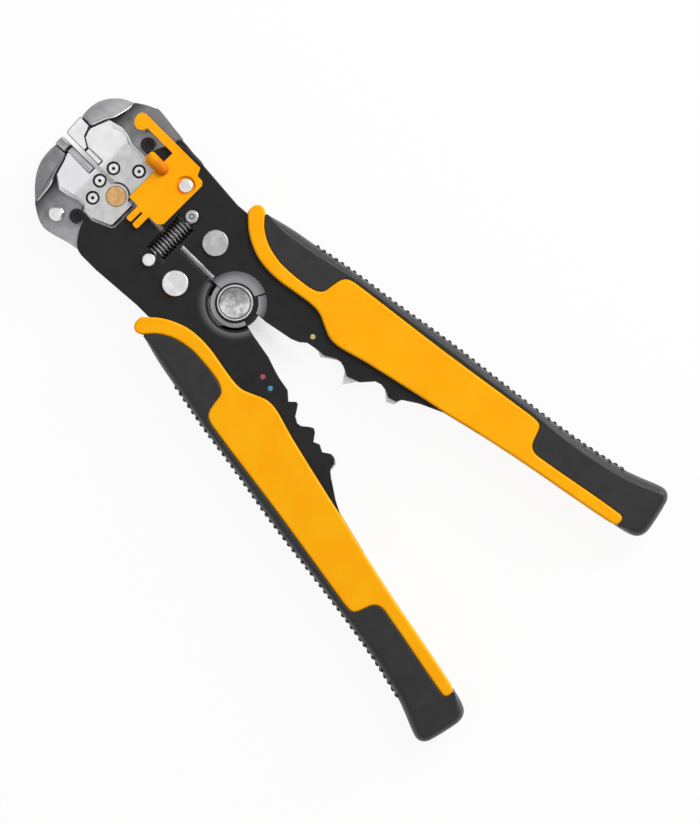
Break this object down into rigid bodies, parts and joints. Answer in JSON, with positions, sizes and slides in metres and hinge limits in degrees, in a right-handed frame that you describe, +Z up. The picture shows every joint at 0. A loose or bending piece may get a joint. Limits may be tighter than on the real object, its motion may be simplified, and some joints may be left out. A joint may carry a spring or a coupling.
{
  "type": "wire stripper",
  "caption": "Pliers-type automatic wire stripper with sprung two-tone grips, toothed crimping throat, gripping jaws, blades that draw back and a sliding wire-length stop.",
  "frame": {"origin": "axis of the main rivet at the plane the tool rests on", "axes": "+Y towards the jaws, +X to the right-hand lever, +Z up through the rivet"},
  "size_m": [0.1046, 0.2069, 0.0172],
  "materials": {
    "black_plate": "satin black",
    "ground_steel": "ground",
    "bright_steel": "bright zinc plated",
    "spring_steel": "black oxide",
    "painted_rivet": "paint dot",
    "cast_alloy": "as cast",
    "bright_alloy": "satin",
    "brass": "satin",
    "yellow_plastic": "moulded",
    "grip_rubber": "matte moulded"
  },
  "bodies": {
    "left_lever": {"left_front_plate": "black_plate", "left_back_plate": "black_plate", "left_crimp_die": "ground_steel", "left_die_rivet_1": "painted_rivet", "left_die_rivet_2": "painted_rivet", "left_grip_core": "yellow_plastic", "left_grip_rubber": "grip_rubber", "left_link_rivet": "bright_steel", "left_spring_post": "bright_steel", "main_rivet": "bright_steel", "return_spring": "spring_steel"},
    "right_lever": {"right_front_plate": "black_plate", "right_back_plate": "black_plate", "right_crimp_die": "ground_steel", "right_die_rivet_1": "painted_rivet", "right_grip_core": "yellow_plastic", "right_grip_rubber": "grip_rubber", "right_link_rivet": "bright_steel", "right_spring_post": "bright_steel"},
    "left_jaw": {"left_jaw": "cast_alloy", "left_jaw_pad": "ground_steel", "left_jaw_rivet": "bright_steel"},
    "right_jaw": {"right_jaw": "cast_alloy", "right_jaw_pad": "ground_steel", "right_jaw_rivet": "bright_steel"},
    "left_carrier": {"left_blade_carrier": "bright_alloy", "left_blade_set": "ground_steel", "left_blade_screw_1": "bright_steel", "left_blade_screw_2": "bright_steel", "carrier_pin": "brass"},
    "right_carrier": {"right_blade_carrier": "bright_alloy", "right_blade_set": "ground_steel", "right_blade_screw_1": "bright_steel", "right_blade_screw_2": "bright_steel"},
    "stop": {"wire_stop": "yellow_plastic", "stop_screw": "bright_steel", "stop_nut": "bright_steel"}
  },
  "joints": [
    {"name": "handle_squeeze", "type": "hinge", "parent": "left_lever", "child": "right_lever", "pos_m": [0, 0, 0.0075], "axis": [0, 0, -1], "range_deg": [0, 20], "stiffness_Nm_per_rad": 3, "springref_deg": -6.88, "deforming": ["return_spring"]},
    {"name": "left_jaw_close", "type": "hinge", "parent": "left_lever", "child": "left_jaw", "pos_m": [0, 0, 0.0075], "axis": [0, 0, -1], "range_deg": [0, 10.5]},
    {"name": "right_jaw_close", "type": "hinge", "parent": "right_lever", "child": "right_jaw", "pos_m": [0, 0, 0.0075], "axis": [0, 0, 1], "range_deg": [0, 10.5]},
    {"name": "carrier_draw", "type": "slide", "parent": "left_jaw", "child": "left_carrier", "axis": [0, -1, 0], "range_m": [0, 0.0017]},
    {"name": "blade_close", "type": "hinge", "parent": "left_carrier", "child": "right_carrier", "pos_m": [-0.0026, 0.0472, 0.0075], "axis": [0, 0, 1], "range_deg": [0, 3.4]},
    {"name": "stop_slide", "type": "slide", "parent": "right_lever", "child": "stop", "axis": [0, 1, 0], "range_m": [0, 0.006]}
  ],
  "couplings": [
    {"joint": "left_jaw_close", "follows": "handle_squeeze", "ratio": 0.525},
    {"joint": "right_jaw_close", "follows": "handle_squeeze", "ratio": 0.525},
    {"joint": "carrier_draw", "follows": "handle_squeeze", "m_per_rad": 0.00487},
    {"joint": "blade_close", "follows": "handle_squeeze", "ratio": 0.17}
  ]
}
